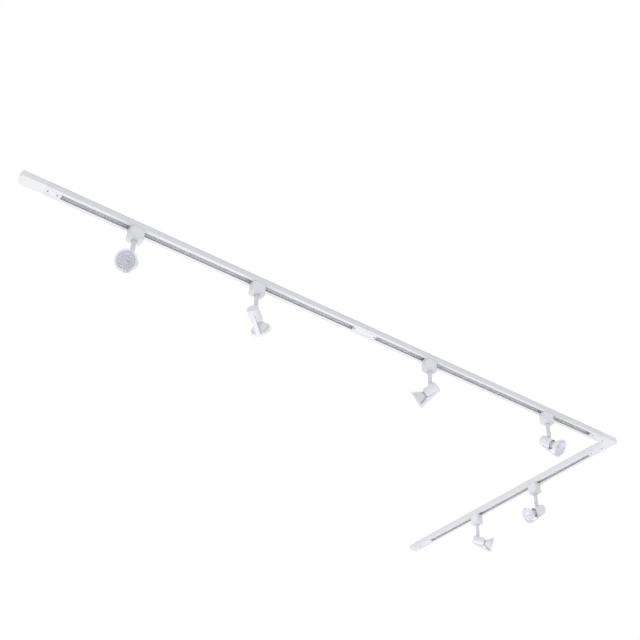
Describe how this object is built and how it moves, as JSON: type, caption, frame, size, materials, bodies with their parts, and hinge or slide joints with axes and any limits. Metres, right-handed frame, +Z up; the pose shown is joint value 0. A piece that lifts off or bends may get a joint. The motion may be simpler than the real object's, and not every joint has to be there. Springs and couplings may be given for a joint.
{
  "type": "track lighting fixture",
  "caption": "L-shaped white ceiling track with sliding adapters that carry swivelling, tilting spot heads, each with an open cup, a wedge-shaped arm and a clear ring round its reflector lamp",
  "frame": {"origin": "on the ceiling plane, where the centre lines of the two runs cross in the corner connector", "axes": "+Z up into the ceiling, the long run along -X to the live end, the short leg along +Y to the dead end"},
  "size_m": [2.1929, 1.1508, 0.1815],
  "materials": {
    "track_paint": "white powder coat, satin",
    "white_moulding": "satin white",
    "stem_moulding": "satin, faintly grey",
    "lamp_moulding": "soft gloss white",
    "insulator": "pale grey",
    "copper": "tinned copper",
    "brass": "bright",
    "screw_steel": "zinc plated",
    "holder_ceramic": "dark glaze",
    "lamp_glass": "silvered reflector glass",
    "clear_ring": "clear, polished"
  },
  "bodies": {
    "track_run": {"track_1": "track_paint", "track_2": "track_paint", "track_3": "track_paint", "track_insulators": "insulator", "track_conductors": "copper", "live_end_housing": "white_moulding", "live_end_cover": "white_moulding", "live_end_terminals": "brass", "straight_connector": "white_moulding", "corner_connector": "white_moulding", "dead_end": "white_moulding", "connector_screws": "screw_steel"},
    "carriage_1": {"adapter_housing_1": "white_moulding", "adapter_cover_1": "white_moulding", "adapter_contacts_1": "copper"},
    "swivel_1": {"stem_1": "stem_moulding"},
    "spot_1": {"lamp_cup_1": "lamp_moulding", "lamp_holder_1": "holder_ceramic", "lamp_1": "lamp_glass", "lamp_ring_1": "clear_ring"},
    "carriage_2": {"adapter_housing_2": "white_moulding", "adapter_cover_2": "white_moulding", "adapter_contacts_2": "copper"},
    "swivel_2": {"stem_2": "stem_moulding"},
    "spot_2": {"lamp_cup_2": "lamp_moulding", "lamp_holder_2": "holder_ceramic", "lamp_2": "lamp_glass", "lamp_ring_2": "clear_ring"},
    "carriage_3": {"adapter_housing_3": "white_moulding", "adapter_cover_3": "white_moulding", "adapter_contacts_3": "copper"},
    "swivel_3": {"stem_3": "stem_moulding"},
    "spot_3": {"lamp_cup_3": "lamp_moulding", "lamp_holder_3": "holder_ceramic", "lamp_3": "lamp_glass", "lamp_ring_3": "clear_ring"},
    "carriage_4": {"adapter_housing_4": "white_moulding", "adapter_cover_4": "white_moulding", "adapter_contacts_4": "copper"},
    "swivel_4": {"stem_4": "stem_moulding"},
    "spot_4": {"lamp_cup_4": "lamp_moulding", "lamp_holder_4": "holder_ceramic", "lamp_4": "lamp_glass", "lamp_ring_4": "clear_ring"},
    "carriage_5": {"adapter_housing_5": "white_moulding", "adapter_cover_5": "white_moulding", "adapter_contacts_5": "copper"},
    "swivel_5": {"stem_5": "stem_moulding"},
    "spot_5": {"lamp_cup_5": "lamp_moulding", "lamp_holder_5": "holder_ceramic", "lamp_5": "lamp_glass", "lamp_ring_5": "clear_ring"},
    "carriage_6": {"adapter_housing_6": "white_moulding", "adapter_cover_6": "white_moulding", "adapter_contacts_6": "copper"},
    "swivel_6": {"stem_6": "stem_moulding"},
    "spot_6": {"lamp_cup_6": "lamp_moulding", "lamp_holder_6": "holder_ceramic", "lamp_6": "lamp_glass", "lamp_ring_6": "clear_ring"}
  },
  "joints": [
    {"name": "slide_1", "type": "slide", "parent": "track_run", "child": "carriage_1", "axis": [1, 0, 0], "range_m": [-0.19, 0.09]},
    {"name": "pan_1", "type": "hinge", "parent": "carriage_1", "child": "swivel_1", "pos_m": [-1.8095, 0, -0.0995], "axis": [0, 0, 1], "range_deg": [-175, 175]},
    {"name": "tilt_1", "type": "hinge", "parent": "swivel_1", "child": "spot_1", "pos_m": [-1.8095, 0, -0.0995], "axis": [0.829, -0.5592, 0], "range_deg": [-36, 54]},
    {"name": "slide_2", "type": "slide", "parent": "track_run", "child": "carriage_2", "axis": [1, 0, 0], "range_m": [-0.084, 0.23]},
    {"name": "pan_2", "type": "hinge", "parent": "carriage_2", "child": "swivel_2", "pos_m": [-1.4355, 0, -0.0995], "axis": [0, 0, 1], "range_deg": [-175, 175]},
    {"name": "tilt_2", "type": "hinge", "parent": "swivel_2", "child": "spot_2", "pos_m": [-1.4355, 0, -0.0995], "axis": [-0.6018, 0.7986, 0], "range_deg": [-21, 69]},
    {"name": "slide_3", "type": "slide", "parent": "track_run", "child": "carriage_3", "axis": [1, 0, 0], "range_m": [-0.188, 0.152]},
    {"name": "pan_3", "type": "hinge", "parent": "carriage_3", "child": "swivel_3", "pos_m": [-0.8145, 0, -0.0995], "axis": [0, 0, 1], "range_deg": [-175, 175]},
    {"name": "tilt_3", "type": "hinge", "parent": "swivel_3", "child": "spot_3", "pos_m": [-0.8145, 0, -0.0995], "axis": [-0.8829, -0.4695, 0], "range_deg": [-23, 67]},
    {"name": "slide_4", "type": "slide", "parent": "track_run", "child": "carriage_4", "axis": [1, 0, 0], "range_m": [-0.151, 0.19]},
    {"name": "pan_4", "type": "hinge", "parent": "carriage_4", "child": "swivel_4", "pos_m": [-0.3115, 0, -0.0995], "axis": [0, 0, 1], "range_deg": [-175, 175]},
    {"name": "tilt_4", "type": "hinge", "parent": "swivel_4", "child": "spot_4", "pos_m": [-0.3115, 0, -0.0995], "axis": [0.9205, 0.3907, 0], "range_deg": [-40, 50]},
    {"name": "slide_5", "type": "slide", "parent": "track_run", "child": "carriage_5", "axis": [0, 1, 0], "range_m": [-0.25, 0.09]},
    {"name": "pan_5", "type": "hinge", "parent": "carriage_5", "child": "swivel_5", "pos_m": [0, 0.373, -0.0995], "axis": [0, 0, 1], "range_deg": [-175, 175]},
    {"name": "tilt_5", "type": "hinge", "parent": "swivel_5", "child": "spot_5", "pos_m": [0, 0.373, -0.0995], "axis": [-0.3746, -0.9272, 0], "range_deg": [-28, 62]},
    {"name": "slide_6", "type": "slide", "parent": "track_run", "child": "carriage_6", "axis": [0, 1, 0], "range_m": [-0.03, 0.262]},
    {"name": "pan_6", "type": "hinge", "parent": "carriage_6", "child": "swivel_6", "pos_m": [0, 0.694, -0.0995], "axis": [0, 0, 1], "range_deg": [-175, 175]},
    {"name": "tilt_6", "type": "hinge", "parent": "swivel_6", "child": "spot_6", "pos_m": [0, 0.694, -0.0995], "axis": [0.5446, 0.8387, 0], "range_deg": [-16, 74]}
  ]
}
